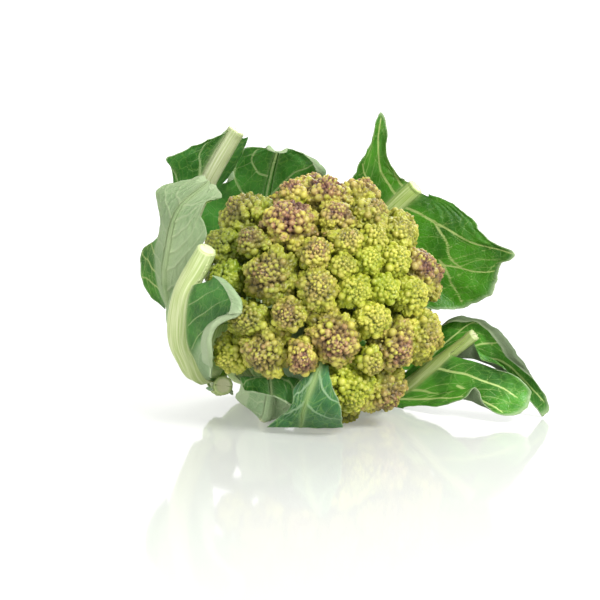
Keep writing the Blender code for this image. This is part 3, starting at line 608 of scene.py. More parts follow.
leaves = {
    "leaf_upper_right": {
        "foot": (268, 62), "thick": (11, 12), "ruffle": 1.3, "teeth": 1.3, "proud": 0.9, "tint": 0.0,
        "rib": [(12, 80, 26), (36, 78, 46), (52, 70, 63), (67, 62, 77)],
        "left": {"span": (0.3, 0.97), "mid": [(14, 86, 46), (30, 78, 78), (42, 68, 94), (56, 66, 84)],
            "edge": [(10, 80, 54), (21, 74, 78), (28, 70, 92), (35, 64, 106), (42, 56, 127), (48, 58, 114),
                     (47, 60, 98), (52, 62, 88), (61, 62, 81)],
            "lines": [[(0.8, 0.02), (0.7, 0.3), (0.56, 0.6), (0.52, 0.96)],
                      [(0.55, 0.05), (0.4, 0.5), (0.3, 0.9)], [(0.92, 0.1), (0.9, 0.6), (0.86, 0.95)]]},
        "right": {"span": (0.2, 0.985),
            "mid": [(40, 86, 14), (66, 80, 20), (94, 70, 26), (100, 64, 50), (80, 64, 68)],
            "edge": [(40, 84, -18), (60, 80, -12), (82, 74, -8), (102, 70, -6), (118, 64, 2), (124, 60, 13),
                     (125, 56, 22), (134, 52, 31), (119, 56, 40), (112, 58, 46), (105, 60, 56),
                     (92, 62, 66), (73.5, 62, 73.5)],
            "lines": [[(0.78, 0.02), (0.72, 0.3), (0.64, 0.6), (0.585, 0.98)],
                      [(0.72, 0.3), (0.58, 0.42), (0.48, 0.55), (0.42, 0.7)],
                      [(0.5, 0.04), (0.4, 0.35), (0.42, 0.66), (0.46, 0.96)],
                      [(0.42, 0.5), (0.33, 0.7), (0.25, 0.95)]]},
    },
    "leaf_top_left": {
        "foot": (8, 66), "thick": (12, 12), "ruffle": 0.8, "teeth": 0.7, "proud": 0.9, "tint": 0.6,
        "light": (0.95, 1.0, 0.8),
        "rib": [(-78, 58, 22), (-86, 44, 50), (-74, 36, 79), (-55, 28, 112)],
        "left": {"span": (0.5, 0.98), "mid": [(-94, 40, 62), (-92, 30, 86), (-84, 26, 96), (-66, 26, 109)],
            "edge": [(-98, 40, 60), (-97, 32, 74), (-98, 26, 86), (-101, 20, 93), (-92, 20, 97),
                     (-82, 22, 102), (-69, 24, 108), (-60, 26, 112)],
            "lines": [[(0.5, 0.0), (0.66, 0.3), (0.8, 0.75)], [(0.15, 0.05), (0.2, 0.5), (0.3, 0.95)]]},
        "right": {"span": (0.7, 0.98), "mid": [(-60, 42, 82), (-51, 34, 106)],
            "edge": [(-61, 42, 82), (-54, 40, 92), (-49, 36, 101), (-46, 34, 110)], "lines": []},
    },
    "leaf_top_middle": {
        "foot": (332, 60), "thick": (9, 3), "ruffle": 1.6, "teeth": 0.8, "flush": True, "tint": 0.5,
        "uncut": True,
        "rib": [(-34, 84, 36), (-36, 70, 66), (-32, 54, 86), (-28, 44, 99)],
        "left": {"span": (0.3, 1), "curl": (0.76, 2.0, 1, 0.46, 0.66),
            "mid": [(-56, 80, 42), (-60, 68, 62), (-50, 54, 84), (-38, 42, 101)],
            "edge": [(-76, 78, 36), (-86, 70, 56), (-76, 62, 73), (-62, 54, 82), (-56, 48, 97),
                     (-46, 42, 103), (-34, 43, 103)],
            "lines": [[(0.3, 0.0), (0.5, 0.5), (0.72, 0.95)], [(0.6, 0), (0.75, 0.5), (0.9, 0.9)]]},
        "right": {"span": (0.3, 1), "curl": (0.82, 1.6, 1, 0.0, 1.0),
            "mid": [(-22, 86, 50), (-14, 72, 72), (-12, 56, 90), (-20, 46, 98)],
            "edge": [(-10, 88, 52), (3, 74, 68), (3, 60, 80), (6, 48, 89), (-8, 48, 98), (-21, 44, 101)],
            "lines": [[(0.35, 0.0), (0.6, 0.35), (0.7, 0.9)], [(0.15, 0), (0.3, 0.5), (0.45, 0.9)]]},
    },
    "leaf_left": {
        "foot": (49, 62), "thick": (10, 3), "ruffle": 1.5, "teeth": 0.6, "flush": True, "tint": 0.0,
        "uncut": True,
        "rib": [(-91, 43, -19), (-100, 16, 8), (-97, 0, 34), (-90, -8, 57), (-71, -6, 75)],
        "left": {"span": (0.3, 1), "dark": (0.46, 0.45),
            "mid": [(-104, 34, 0), (-108, 22, 24), (-107, 10, 48), (-98, 2, 64), (-88, 0, 72)],
            "edge": [(-104, 44, -8), (-115, 36, 6), (-119, 28, 18), (-117, 24, 34), (-104, 18, 34),
                     (-106, 12, 56), (-105, 6, 71), (-91, 2, 77), (-76, -3, 80.5)]},
        "right": {"span": (0.3, 1),
            "mid": [(-90, 24, -16), (-93, 4, 12), (-84, -12, 38), (-80, -16, 56), (-72, -14, 66)],
            "edge": [(-86, 30, -14), (-80, 12, 6), (-76, -10, 30), (-72, -16, 42), (-76, -18, 55),
                     (-71, -16, 63), (-63, -11, 64), (-66, -8, 72)]},
    },
    "leaf_left_front": {
        "foot": (76, 78), "thick": (27, 12.5), "ruffle": 0.7, "teeth": 0.5, "proud": 1.0, "tint": 0.42,
        "light": (1.2, 1.2, 1.12), "veins": 0.6,
        "rib": [(-76, 22, -45), (-87, -14, -26), (-84, -42, 2), (-69.5, -60, 30)],
        "left": {"span": (0.42, 0.9), "mid": [(-90, -4, -32), (-94, -26, -8), (-82, -50, 14)],
            "edge": [(-93, 4, -32), (-98, -18, -12), (-92, -36, 6), (-82, -52, 20)]},
        "right": {"span": (0.3, 0.84), "curl": (0.84, 1.5, -1, 0.0, 1.0), "swap": 0.3, "rim": (0.68, 0.5),
            "mid": [(-72, -2, -48), (-77, -38, -34), (-70, -62, -14), (-66, -70, -2), (-68, -70, 6),
                    (-71, -62, 10)],
            "edge": [(-67, -42, -50), (-64, -61, -33), (-61, -69, -16), (-53, -74, -11), (-45, -76, -11),
                     (-44, -76, -4), (-48, -76, 3), (-54, -74, 9), (-62, -70, 13), (-68, -64, 11)],
            "lines": [[(0.35, 0.05), (0.42, 0.4), (0.5, 0.9)], [(0.6, 0.05), (0.62, 0.5), (0.66, 0.9)],
                      [(0.8, 0.05), (0.78, 0.5), (0.8, 0.9)], [(0.15, 0.05), (0.2, 0.5), (0.28, 0.9)]]},
    },
    "leaf_low_left": {
        "foot": (100, 92), "thick": (15, 13), "ruffle": 0.1, "teeth": 0.1, "proud": 1.0, "tint": 0.0,
        "rib": [(-68, 46, -57), (-63, 18, -57)],
        "left": {"span": (0.45, 0.93), "mid": [(-72, 38, -59), (-69, 20, -59)],
            "edge": [(-76, 40, -60), (-73, 28, -61), (-70, 19, -60)], "lines": []},
        "right": {"span": (0.45, 0.93), "mid": [(-62, 38, -62), (-58, 20, -60)],
            "edge": [(-59, 40, -64), (-57, 28, -64), (-56.5, 19, -61)], "lines": []},
    },
    "leaf_bottom_left": {
        "foot": (138, 77), "thick": (9, 2.5), "ruffle": 0.6, "teeth": 0.5, "flush": True, "tint": 0.6,
        "uncut": True, "light": (1.25, 1.25, 1.0),
        "rib": [(-33, 34, -72), (-36, 4, -77), (-33, -18, -74), (-31, -28, -60), (-31, -32, -50),
                (-31, -39, -50), (-30, -44, -60)],
        "left": {"span": (0.4, 1), "rim": (0.62, 0.5),
            "mid": [(-42, 12, -76), (-43, -8, -74), (-41, -26, -60), (-41, -31, -50), (-41, -39, -49),
                    (-40, -44, -57)],
            "edge": [(-52, 8, -66), (-54, -6, -62), (-51, -20, -58), (-50, -28, -51), (-51, -36, -49),
                     (-47, -44, -57)]},
        "right": {"span": (0.4, 1),
            "mid": [(-28, 8, -78), (-26, -6, -79), (-23, -25, -64), (-22, -31, -51), (-22, -40, -50),
                    (-22, -45, -62)],
            "edge": [(-24, 4, -78), (-22, -10, -77), (-18, -22, -68), (-14, -31, -52), (-12, -40, -51),
                     (-14, -46, -68)]},
    },
    "leaf_bottom_front": {
        "foot": (150, 62), "thick": (8, 1.5), "ruffle": 0.9, "teeth": 0.5, "proud": 0.7, "tint": 1.0,
        "uncut": True, "swap": True, "light": (1.4, 1.4, 1.3),
        "rib": [(-14, 20, -60), (-5, -34, -47), (0, -58, -40), (-9, -52, -66), (-12, -33, -80)],
        "left": {"span": (0.2, 1),
            "mid": [(-18, 22, -54), (-16, -30, -44), (-6, -57, -44), (-12, -54, -62), (-20, -40, -80)],
            "edge": [(-24, 24, -46), (-36, 2, -39), (-32, -26, -39), (-8, -56, -42), (-15, -52, -54),
                     (-18, -48, -66), (-34, -32, -81)],
            "lines": [[(0.575, 0), (0.675, 0.5), (0.75, 0.95)], [(0.725, 0), (0.825, 0.5), (0.9, 0.95)]]},
        "right": {"span": (0.6, 1), "mid": [(4, -62, -43), (2, -60, -66), (2, -40, -81)],
            "edge": [(5, -61, -40), (8, -62, -54), (13, -58, -67), (15, -38, -81)],
            "lines": [[(0.12, 0), (0.3, 0.5), (0.55, 0.95)], [(0.45, 0), (0.7, 0.5), (0.85, 0.95)]]},
    },
    "leaf_lower_right": {
        "foot": (186, 72), "thick": (12, 8.5), "ruffle": 0.9, "teeth": 0.9, "proud": 1.0, "tint": 0.15,
        "frayed": True, "light": (1.65, 0.42, 0.85),
        "rib": [(10, 64, -60), (50, 46, -63), (76, 24, -44), (101, 10, -24)],
        "left": {"span": (0.5, 0.97), "curl": (0.84, 1.7, 1, 0.0, 0.56),
            "mid": [(72, 36, -40), (82, 30, -28), (96, 22, -20), (110, 14, -22), (120, 12, -34),
                    (116, 12, -38), (106, 12, -36)],
            "edge": [(74, 38, -34), (81, 34, -24), (86, 30, -15), (95, 24, -12), (104, 20, -15),
                     (112, 14, -18), (126, 6, -32), (134, 4, -45), (142, 6, -57), (151, 10, -72),
                     (146, 12, -77), (139, 8, -67), (130, 8, -56), (122, 10, -46), (112, 12, -42),
                     (104, 12, -39)],
            "lines": [[(0.25, 0.0), (0.25, 0.4), (0.28, 0.8)],
                      [(0.62, 0.0), (0.58, 0.3), (0.56, 0.6), (0.6, 0.95)],
                      [(0.5, 0.1), (0.44, 0.5), (0.4, 0.8)]]},
        "right": {"span": (0.3, 0.85), "mid": [(50, 46, -72), (74, 26, -66), (96, 6, -52), (104, 4, -40)],
            "edge": [(46, 46, -76), (64, 30, -72), (80, 14, -70), (95, 0, -65), (102, -2, -58),
                     (110, -4, -70), (122, -6, -76), (134, -4, -72), (138, -2, -62), (128, -2, -50),
                     (114, 0, -46)],
            "lines": [[(0.85, 0.0), (0.8, 0.4), (0.75, 0.9)], [(0.3, 0.0), (0.3, 0.5), (0.32, 0.95)],
                      [(0.55, 0.0), (0.45, 0.5), (0.42, 0.8)], [(0.65, 0.4), (0.6, 0.7), (0.6, 0.95)]]},
    },
    "leaf_back_right": {
        "foot": (234, 66), "thick": (12, 10), "ruffle": 1.2, "teeth": 0.8, "proud": 0.9, "tint": 0.1,
        "rib": [(24, 92, -22), (54, 92, -20), (80, 84, -18)],
        "left": {"span": (0.35, 0.95), "mid": [(36, 98, -10), (56, 98, -4), (80, 88, -2)],
            "edge": [(36, 98, -2), (52, 98, 6), (70, 92, 8), (86, 82, 0)]},
        "right": {"span": (0.35, 0.95), "mid": [(34, 96, -34), (56, 94, -36), (80, 82, -34)],
            "edge": [(32, 98, -44), (52, 94, -50), (72, 84, -48), (86, 74, -34)]},
    },
    "leaf_back_low": {
        "foot": (206, 92), "thick": (13, 11), "ruffle": 0.8, "teeth": 0.7, "proud": 0.9, "tint": 0.1,
        "rib": [(-8, 100, -60), (16, 96, -66), (38, 88, -68)],
        "left": {"span": (0.4, 0.95), "mid": [(4, 108, -52), (22, 108, -56), (40, 94, -60)],
            "edge": [(2, 112, -46), (18, 114, -48), (34, 104, -52), (44, 94, -58)]},
        "right": {"span": (0.4, 0.95), "mid": [(4, 92, -68), (20, 86, -70), (38, 80, -70)],
            "edge": [(2, 84, -70), (16, 76, -70), (32, 74, -70), (42, 78, -68)]},
    },
}


def wobble(values, seed, rough=3):  # a smooth wavy number, the same every run
    total = np.zeros_like(values)
    for k in range(rough):
        total += np.sin(values * (1.0 + 0.83 * k) * 1.7**k + seed * (1.3 + k) * 2.1) / 1.45**k
    return total / 1.6


def lengthAlong(points):
    return np.concatenate([[0], np.cumsum(np.linalg.norm(np.diff(points, axis=0), axis=1))])


def curledOver(grid, far, normal, curl, shown):
    # the margin beyond start rolls over, towards the leaf's inside (1) or outside (-1)
    start, bendRadius, way = curl[:3]
    columns = grid.shape[1]
    at = int(start * (columns - 1))
    ahead = unit(grid[:, at] - grid[:, at - 2])
    side = normal[:, at] * -way
    over = far[:, at:] - far[:, at:at + 1]
    turn = np.minimum(over / bendRadius, 3.0)
    rest = over - turn * bendRadius
    moved = (ahead[:, None] * (bendRadius * np.sin(turn) + rest * np.cos(turn))[..., None]
             + side[:, None] * (bendRadius * (1 - np.cos(turn)) + rest * np.sin(turn))[..., None])
    rolled = grid.copy()
    rolled[:, at:] = grid[:, at][:, None] + moved
    mix = np.clip(shown, 0, 1)[:, None, None] ** 3
    return grid * (1 - mix) + rolled * mix


def onGrid(grid, rowPlace, columnPlace):  # points of a grid of points at fractional rows and columns
    r = np.clip(rowPlace, 0, grid.shape[0] - 1.001)
    c = np.clip(columnPlace, 0, grid.shape[1] - 1.001)
    i, j = r.astype(int), c.astype(int)
    fr, fc = (r - i)[:, None], (c - j)[:, None]
    return ((grid[i, j] * (1 - fc) + grid[i, j + 1] * fc) * (1 - fr)
            + (grid[i + 1, j] * (1 - fc) + grid[i + 1, j + 1] * fc) * fr)


def veinsOf(grid, wing, ribLength, seed, wide):
    # veins as curves over the blade: main ones, then branches that leave them on alternate sides
    span, lines = wing["span"], wing.get("lines")
    if lines is None:
        count = max(2, int((span[1] - span[0]) * ribLength / 15))
        lines = [[(k, 0.0), (k + 0.05, 0.35), (k + 0.13, 0.7), (k + 0.19, 0.96)]
                 for k in (np.arange(count) + 0.25) / count * 0.85]
    dice = np.random.default_rng(seed)
    curves = []
    rows, columns = grid.shape[:2]

    def add(stops, width):
        path = alongCurve([(t, s, 0) for t, s in stops], np.linspace(0, 1, 40))
        path[:, 0] += 0.006 * np.sin(path[:, 1] * 17 + seed + len(curves))
        row = (span[0] + path[:, 0] * (span[1] - span[0])) * (rows - 1)
        points = onGrid(grid, row, path[:, 1] * (columns - 1))
        length = lengthAlong(points)
        fine = np.linspace(0, length[-1], max(8, int(length[-1] / 0.5)))
        curves.append((np.stack([np.interp(fine, length, points[:, k]) for k in range(3)], 1),
                       width * (1 - 0.55 * np.linspace(0, 1, len(fine)))))
        return path

    for stops in lines:
        path = add(stops, wide)
        away = 1
        for share in np.arange(0.16, 0.95, 0.13):
            share += dice.uniform(-0.03, 0.03)
            t, s = (np.interp(share, np.linspace(0, 1, 40), path[:, k]) for k in (0, 1))
            out = dice.uniform(0.06, 0.11) * away
            end = min(s + dice.uniform(0.2, 0.34), 0.98)
            add([(t, s), (t + out * 0.7, s + 0.05), (t + out * 1.3, s + 0.14), (t + out * 1.7, end)],
                0.52 * wide)
            away = -away
    return curves


def veinField(grid, curves):  # how strong the veins are at every point of the grid
    best = np.zeros(grid.shape[:2])
    for points, width in curves:
        near = points[::2]
        reach = np.linalg.norm(grid[:, :, None] - near[None, None, ::4], axis=-1).min(2) < 6
        if not reach.any():
            continue
        gaps = np.linalg.norm(grid[reach][:, None] - points[None], axis=-1) / width[None]
        best[reach] = np.maximum(best[reach], np.exp(-gaps.min(1) ** 2) * min(1, width[0] / 0.95))
    return best


def makeSide(plan, side, places, roots, outward, sign, ribLength, seed):
    # one side of the blade as rows of points from the rib to the edge
    wing = plan[side]
    first, last = wing["span"]
    rows = len(places)
    within = (places - first) / (last - first)
    shown = smoothStep(places, first - 0.07, first + 0.01)
    if last < 1:
        shown = shown * (1 - smoothStep(places, last - 0.012, last + 0.012))
    middle = alongCurve(wing["mid"], within)
    edge = alongCurve(wing["edge"], within)
    outline = lengthAlong(edge)
    bite = plan["teeth"] * (0.8 * wobble(outline * 0.2, seed, 2) + 0.25 * wobble(outline * 1.1, seed + 2, 2)
                            - 1.3 * np.maximum(wobble(outline * 0.11, seed + 7, 2), 0.25))
    edge = edge + unit(edge - roots) * (bite * shown)[:, None]
    rolled = np.zeros(rows)
    if "curl" in wing:  # the roll is made from blade beyond the leaf's outline
        low, high = wing["curl"][3:]
        rolled = smoothStep(within, low - 0.12, low + 0.12) * shown
        rolled = rolled * (1 - smoothStep(within, high - 0.08, high + 0.05))
        more = (1 / (wing["curl"][0] + 0.04) - 1) * rolled[:, None]
        edge, middle = edge + (edge - roots) * more, middle + (middle - roots) * more * 0.5
    widest = np.linalg.norm(edge - roots, axis=1).max()
    columns = int(np.clip(widest / sheet["step"], 12, sheet["mostColumns"]))
    steps = np.linspace(0, 1, columns)[None, :] * np.maximum(shown, 0.001)[:, None]
    s = steps[..., None]
    grid = roots[:, None] * (1 - s) ** 2 + middle[:, None] * 2 * s * (1 - s) + edge[:, None] * s**2

    def normals(points):
        found = np.cross(np.gradient(points, axis=0), np.gradient(points, axis=1))
        found = unit(found + 1e-9 * outward[:, None])
        return found * (1.0 if side == "right" else -1.0) * sign

    normal = normals(grid)
    gaps = np.linalg.norm(np.diff(grid, axis=1), axis=2)
    far = np.concatenate([np.zeros((rows, 1)), np.cumsum(gaps, axis=1)], 1)
    signed = far * (1 if side == "right" else -1)
    vein = veinField(grid, veinsOf(grid, wing, ribLength, seed + len(side), plan.get("veins", 1.0)))
    rise = smoothStep(steps, 0.25, 1.0) * shown[:, None]
    wave = plan["ruffle"] * rise * wobble(outline[:, None] * 0.14 + signed * 0.03, seed, 1) * 1.4
    wave += 0.35 * rise**2 * wobble(outline[:, None] * 0.4 + far * 0.05, seed + 3, 1)
    swirl = outline[:, None] * 0.2 * steps + 2 * wobble(far * 0.12, seed, 1) + far * 0.2
    puff = 0.3 * wobble(swirl, seed + 9, 1) * smoothStep(far, 2, 10)
    calm = 1 - smoothStep(within, 0.86, 0.97) * (last < 1)
    grid = grid + normal * ((wave + puff) * calm[:, None])[..., None]
    if "curl" in wing:
        grid = curledOver(grid, far, normal, wing["curl"], rolled)
        normal = normals(grid)
    thick = sheet["edgeThickness"] + (sheet["thickness"] - sheet["edgeThickness"]) * (1 - steps) ** 0.7
    thick = thick + 1.6 * np.exp(-far / 2.2) * (1 - steps)
    swap = np.zeros_like(far)
    if "dark" in wing:
        high, beyond = wing["dark"]
        until = 1 - smoothStep(within, high - 0.02, high + 0.02)
        swap = smoothStep(steps, beyond - 0.06, beyond + 0.06) * until[:, None]
    if "swap" in wing:
        swap = np.repeat(smoothStep(within, wing["swap"] - 0.08, wing["swap"] + 0.08)[:, None], columns, 1)
    if plan.get("swap"):
        swap = np.ones_like(far)
    rim = 0.7 * smoothStep(steps, 0.955, 1.0) * np.ones_like(far)
    if "rim" in wing:
        low, high = wing["rim"]
        until = 1 - smoothStep(within, high - 0.05, high + 0.05)
        rim = np.maximum(rim, 0.9 * smoothStep(steps, low, low + 0.05) * until[:, None])
    relief = 0.5 * vein * (1 - steps) ** 0.3
    return {
        "inner": grid - normal * (0.5 * thick + 0.12 * vein)[..., None],
        "outer": grid + normal * (0.5 * thick + relief)[..., None],
        "along": np.repeat(outline[:, None], columns, 1) * 0.7, "across": signed, "vein": vein,
        "steps": steps, "far": far, "shown": shown, "swap": swap, "rim": rim,
    }


def makeLeaf(name, plan, seed):
    angle, down = plan["foot"]
    foot = np.array(roundPoint(angle, sheet["footOut"] + 0.5 * plan["thick"][0], -down))
    inStalk = np.array(roundPoint(angle, sheet["footIn"], -down - 2))
    rib = np.vstack([foot, plan["rib"]])
    longest = 0
    for side in ("left", "right"):
        first, last = plan[side]["span"]
        longest = max(longest, lengthAlong(np.array(plan[side]["edge"], float))[-1] / (last - first))
    rows = int(np.clip(longest / sheet["step"], 60, sheet["mostRows"]))
    places = np.linspace(0, 1, rows)
    line = alongCurve(rib, places)
    ahead = unit(np.gradient(line, axis=0))
    length = lengthAlong(line)
    radius = 0.5 * (plan["thick"][0] + (plan["thick"][1] - plan["thick"][0]) * places)
    flare = np.exp(-length / 9.0)
    radius = radius * (1 + 0.22 * flare)
    toSide = {}
    for side in ("left", "right"):
        span = plan[side]["span"]
        toSide[side] = unit(alongCurve(plan[side]["mid"], (places - span[0]) / (span[1] - span[0])) - line)
    across = toSide["right"] - toSide["left"]
    across = unit(across - ahead * dot(across, ahead)[:, None])
    smooth = np.stack([np.convolve(np.pad(column, 8, "edge"), np.ones(17) / 17, "valid")
                       for column in across.T], 1)
    across = unit(smooth - ahead * dot(smooth, ahead)[:, None])
    outward = np.cross(ahead, across)
    sign = 1.0 if dot(outward, line).mean() >= 0 else -1.0
    outward = outward * sign
    proud, flush = plan.get("proud", 0.6), plan.get("flush", False)
    setBack = (0.35 * radius * proud)[:, None] * outward
    toRoot = across * (0.84 * radius)[:, None]
    left = makeSide(plan, "left", places, line - toRoot + setBack, outward, sign, length[-1], seed + 5)
    right = makeSide(plan, "right", places, line + toRoot + setBack, outward, sign, length[-1], seed)
    for part, way in ((left, -1), (right, 1)):  # without a blade, its points close up on the rib's side
        ribSide = (line + across * (0.97 * way * radius)[:, None])[:, None]
        keep = np.maximum(smoothStep(part["shown"], 0.0, 0.12), 0.01)[:, None, None]
        part["inner"] = ribSide + (part["inner"] - ribSide) * keep
        part["outer"] = ribSide + (part["outer"] - ribSide) * keep

    # one closed loop of columns round the leaf: inside from left edge to right edge, then back outside
    arc = sheet["ribArc"]
    blade = np.maximum(left["shown"], right["shown"])
    turn = np.linspace(0, math.pi, arc + 2)[1:-1]
    innerHigh = radius * (0.95 - (0.75 if flush else 0.12) * blade)
    outerHigh = radius * (0.85 if flush else 1.0)
    sideways = across[:, None] * (radius * 0.98)[:, None, None] * np.cos(turn)[None, :, None]
    ridges = 1 + 0.05 * np.sin(turn * 9 + seed)
    rise = outward[:, None] * (np.sin(turn) * ridges)[None, :, None]
    innerArc = line[:, None] - sideways - rise * innerHigh[:, None, None]
    outerArc = line[:, None] + sideways + rise * outerHigh[:, None, None]
    loop = np.concatenate([left["inner"][:, ::-1], innerArc, right["inner"],
                           right["outer"][:, ::-1], outerArc, left["outer"]], 1)

    def around(innerRib, outerRib, pick):
        # one number for every point of the loop: pick gives it on a blade's inside, 0, or outside, 1
        fill = [np.broadcast_to(value, (rows, arc)) for value in (innerRib, outerRib)]
        return np.concatenate([pick(left, 0)[:, ::-1], fill[0], pick(right, 0),
                               pick(right, 1)[:, ::-1], fill[1], pick(left, 1)], 1)

    ribAcross = radius[:, None] * np.cos(turn)[None, :]
    flushLine = np.exp(-(ribAcross / 0.9) ** 2) if flush else 0.0
    flushRib = 1 - blade[:, None] if flush else 1.0
    bladeRib = 0.2 if flush else 1
    alongAll = around(length[:, None], length[:, None], lambda part, face: part["along"])
    acrossAll = around(-ribAcross, ribAcross, lambda part, face: part["across"] + np.sign(part["across"]) * 4)
    veinAll = around(flushLine, 0.0, lambda part, face: part["vein"])
    outsideAll = around(0.0, 1.0, lambda part, face: np.abs(face - part["swap"]))
    ribAll = around(flushRib, 0.15 + 0.85 * flushRib if flush else 1.0,
                    lambda part, face: np.exp(-part["far"] / 1.4) * (1 - part["steps"]) ** 2 * bladeRib)
    rimAll = around(0.0, 0.0, lambda part, face: part["rim"])
    count = loop.shape[1]

    points = loop.reshape(-1, 3)
    index = np.arange(rows * count).reshape(rows, count)
    # the cut end: rings that close in to the middle, slightly hollow
    frayed = 1.4 if plan.get("frayed") else 0.0
    middle = line[-1] + ahead[-1] * 0.2
    rings, depths = [], []
    for k, (share, sink) in enumerate(sheet["cut"]):
        ragged = frayed * np.abs(wobble(np.arange(count) * (0.9 + 0.3 * k), seed + k))
        rings.append(middle + (loop[-1] - middle) * share + ahead[-1] * (sink + ragged)[:, None])
        depths.append(share)
    closing = len(rings)
    ringIndex = np.vstack([index[-1][None], len(points) + np.arange(closing * count).reshape(closing, count)])
    quads = np.vstack([strips(index[:-1], index[1:]), strips(ringIndex[:-1], ringIndex[1:])])
    tipIndex = ringIndex[-1, -1] + 1
    ends = np.stack([ringIndex[-1], np.roll(ringIndex[-1], -1), np.full(count, tipIndex)], 1)
    base = np.stack([np.roll(index[0], -1), index[0], np.full(count, tipIndex + 1)], 1)
    points = np.vstack([points, np.vstack(rings), middle, inStalk])
    faces = facingOut(points, quads, np.vstack([ends, base]))

    def withEnds(values, atCut, atTip, atFoot):
        # the loops' values, then those of the cut rings, the cut's middle and the foot in the stalk
        return np.concatenate([values.ravel(), np.repeat(np.broadcast_to(atCut, closing), count),
                               [atTip, atFoot]])

    isCut = 0.0 if plan.get("uncut") else 1.0
    rowPoints = toRow(points)
    rowPoints[:, 2] = np.maximum(rowPoints[:, 2], 0.0003 + 0.0002 * withEnds(outsideAll < 0.5, 1, 1, 1))
    none = np.zeros_like(alongAll)
    stored = {
        "place": np.stack([withEnds(alongAll, length[-1], length[-1], 0), withEnds(acrossAll, 0, 0, 0),
                           withEnds(veinAll, 0, 0, 0)], 1),
        "kind": np.stack([withEnds(outsideAll, 1 - isCut, 1 - isCut, 1), withEnds(ribAll, isCut, isCut, 1),
                          withEnds(none, isCut, isCut, 0)], 1),
        "more": np.stack([withEnds(none, depths, 0, 0), np.full(len(points), plan["tint"]),
                          withEnds(rimAll, 0.7 - 0.7 * isCut, 0, 0)], 1),
        "light": np.tile(np.array(plan.get("light", (1.0, 1.0, 1.0)), float), (len(points), 1)),
    }
    pieceName = name.title().replace("_", "").replace("Leaf", "leaf")
    piece = newMesh(pieceName, toHead(rowPoints), faces, leafSheet, stored)
    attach(piece, "root")
    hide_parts(name)


print("leaves")
for number, (name, plan) in enumerate(leaves.items()):
    makeLeaf(name, plan, number + 1)


stalk = {
    "radius": 20.6, "length": 104.0, "core": 32.5, "rows": 130, "around": 120,
    # where lower leaves were cut away: angle, place along the stalk, size
    "scars": ((30, -88, 9), (160, -90, 8), (262, -84, 10), (310, -92, 8), (128, -98, 6), (355, -94, 7)),
    # rings that close in over the cut: share of the radius, depth
    "cut": ((0.94, 0.0), (0.85, 0.5), (0.7, 0.6), (0.5, 0.2), (0.25, 0.0)),
}


def makeStalk():
    rows, around = stalk["rows"], stalk["around"]
    turns = [math.radians(angle) for angle in (-25, 0, 30, 60, 86)]
    core = [(stalk["core"] * math.sin(turn), stalk["core"] * math.cos(turn)) for turn in turns]
    profile = [(-stalk["length"] + 0.3, 19.4), (-stalk["length"] + 1.6, 20.4), (-80, stalk["radius"]),
               (-58, stalk["radius"]), (-34, 22.0)] + core
    places = np.linspace(0, 1, rows)
    line = alongCurve([(a, r, 0) for a, r in profile], places)
    turn = np.linspace(0, 2 * math.pi, around, endpoint=False)
    axis, one, two = np.array(headAxis), np.array(upSide), np.array(frontSide)
    along = line[:, 0][:, None] + 0.0 * turn[None, :]
    reachOut = line[:, 1][:, None] + 0.35 * np.sin(turn * 5 + along * 0.06)
    reachOut = reachOut + 0.25 * np.sin(turn * 11 - along * 0.11)
    for angle, place, size in stalk["scars"]:
        swing = (turn[None, :] - math.radians(angle) + math.pi) % (2 * math.pi) - math.pi
        gap = np.sqrt((swing * 20) ** 2 * 0.45 + (along - place) ** 2)
        lip = 0.8 * np.exp(-((gap - size * 0.6) / 1.5) ** 2)
        reachOut = reachOut + lip - 0.5 * np.exp(-(gap / (size * 0.45)) ** 2)
    ring = one[None, :] * np.cos(turn)[:, None] + two[None, :] * np.sin(turn)[:, None]
    body = np.array(heart) + axis * along[..., None] + ring[None] * reachOut[..., None]
    count = rows * around
    index = np.arange(count).reshape(rows, around)
    cutRings, depths = [], []
    foot = np.array(heart) + axis * along[0, 0]
    for share, sink in stalk["cut"]:
        dip = sink + 0.25 * np.sin(turn * 3 + share * 9)
        cutRings.append(foot + (body[0] - foot) * share + axis * dip[:, None])
        depths.append(share)
    cutCount = len(cutRings) * around
    cutIndex = np.vstack([index[0][None], count + np.arange(cutCount).reshape(-1, around)])
    tip, end = count + cutCount, count + cutCount + 1
    top = np.array(heart) + axis * stalk["core"]
    points = np.vstack([body.reshape(-1, 3), np.vstack(cutRings), foot + axis * 0.2, top])
    quads = np.vstack([strips(index[:-1], index[1:]), strips(cutIndex[:-1], cutIndex[1:])[:, ::-1]])
    fans = np.vstack([np.stack([np.roll(cutIndex[-1], -1), cutIndex[-1], np.full(around, tip)], 1),
                      np.stack([index[-1], np.roll(index[-1], -1), np.full(around, end)], 1)])
    faces = facingOut(points, quads, fans)
    zeros = np.zeros(count)
    place = np.stack([np.concatenate([along.ravel(), np.full(cutCount, -100), [-100, 30]]),
                      np.concatenate([zeros, np.repeat(depths, around), [0, 0]]),
                      np.concatenate([zeros, np.ones(cutCount), [1, 0]])], 1)
    piece = newMesh("stalkWhole", points, faces, stalkFlesh, {"place": place})
    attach(piece, "root")
    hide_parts("stalk")


print("stalk")
makeStalk()


studio = {
    "lens": 100.0, "distance": 1.083, "aim": (-12.35, 0.0, -0.65), "view": 9.0,
    "air": 0.24, "screen": 1.4, "lightAim": (0, 0, 0.09),
    "half": 4.0, "back": 1.5, "high": 3.2, "overlap": 0.1,  # the floor and the screen, in metres
    "lights": {  # place, size, power
        "keyLight": ((0.7, -0.95, 0.95), (0.5, 0.5), 29.5),
        "fillLight": ((-1.3, -0.5, 0.5), (0.8, 0.7), 8.0),
        "lowLight": ((-0.5, -1.2, 0.16), (1.5, 0.2), 4.5),
        "backLight": ((0.4, 1.2, 1.0), (1.0, 0.7), 14.0),
    },
}


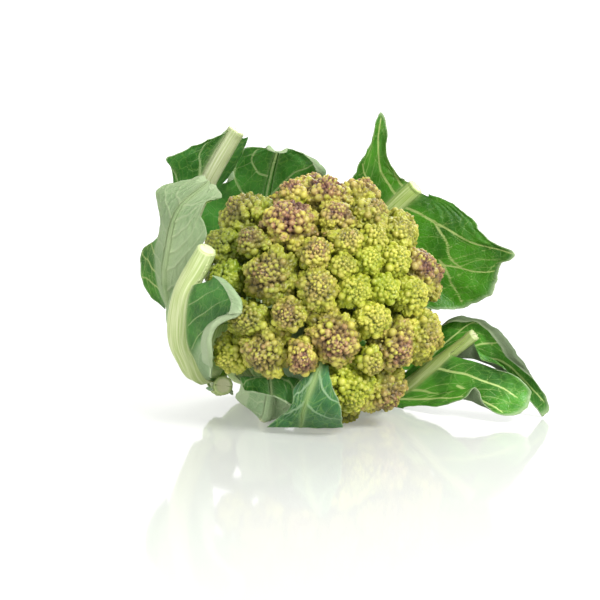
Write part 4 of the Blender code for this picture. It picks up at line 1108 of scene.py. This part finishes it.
def makeLight(name, place, size, power):
    light = bpy.data.lights.new(name, "AREA")
    light.shape = "RECTANGLE"
    light.size, light.size_y = size
    light.energy = power
    lamp = bpy.data.objects.new(name, light)
    lamp.location = place
    lamp.rotation_euler = (Vector(place) - Vector(studio["lightAim"])).to_track_quat("Z", "Y").to_euler()
    bpy.context.scene.collection.objects.link(lamp)


def makePlane(name, corners, finish):
    mesh = bpy.data.meshes.new(name)
    mesh.from_pydata(corners, [], [(0, 1, 2, 3)])
    mesh.materials.append(finish.material)
    plane = bpy.data.objects.new(name, mesh)
    bpy.context.scene.collection.objects.link(plane)
    return plane


def makeStudio():
    scene = bpy.context.scene
    scene.view_settings.view_transform = "Standard"
    world = bpy.data.worlds.new("studioAir")
    world.use_nodes = True
    world.node_tree.nodes["Background"].inputs["Color"].default_value = (1, 1, 1, 1)
    world.node_tree.nodes["Background"].inputs["Strength"].default_value = studio["air"]
    scene.world = world
    finish = Finish("studioFloor", Base_Color=(0.48, 0.49, 0.465, 1), Roughness=0.07, Specular_IOR_Level=0.5,
                    Emission_Color=(1, 1, 0.98, 1), Emission_Strength=0.25)
    half, back, high = studio["half"], studio["back"], studio["high"]
    beyond, low = back + studio["overlap"], -studio["overlap"]
    floor = makePlane("studioFloor", [(-half, -half, 0), (half, -half, 0), (half, beyond, 0),
                                      (-half, beyond, 0)], finish)
    glow = Finish("studioScreen", Base_Color=(0, 0, 0, 1), Roughness=1.0, Specular_IOR_Level=0.0,
                  Emission_Color=(1, 1, 1, 1), Emission_Strength=studio["screen"])
    screen = makePlane("studioScreen", [(-half, back, low), (half, back, low), (half, back, high),
                                        (-half, back, high)], glow)
    for name, (place, size, power) in studio["lights"].items():
        makeLight(name, place, size, power)
    camera = bpy.data.cameras.new("studioCamera")
    camera.lens = studio["lens"]
    camera.sensor_width = 36.0
    camera.clip_start = 0.01
    eye = bpy.data.objects.new("studioCamera", camera)
    scene.collection.objects.link(eye)
    aim = Vector(toRow([studio["aim"]])[0])
    tilt = math.radians(studio["view"])
    away = Vector((0, -math.cos(tilt), math.sin(tilt)))
    eye.location = aim + away * studio["distance"]
    eye.rotation_euler = away.to_track_quat("Z", "Y").to_euler()
    scene.camera = eye


print("studio")
makeStudio()
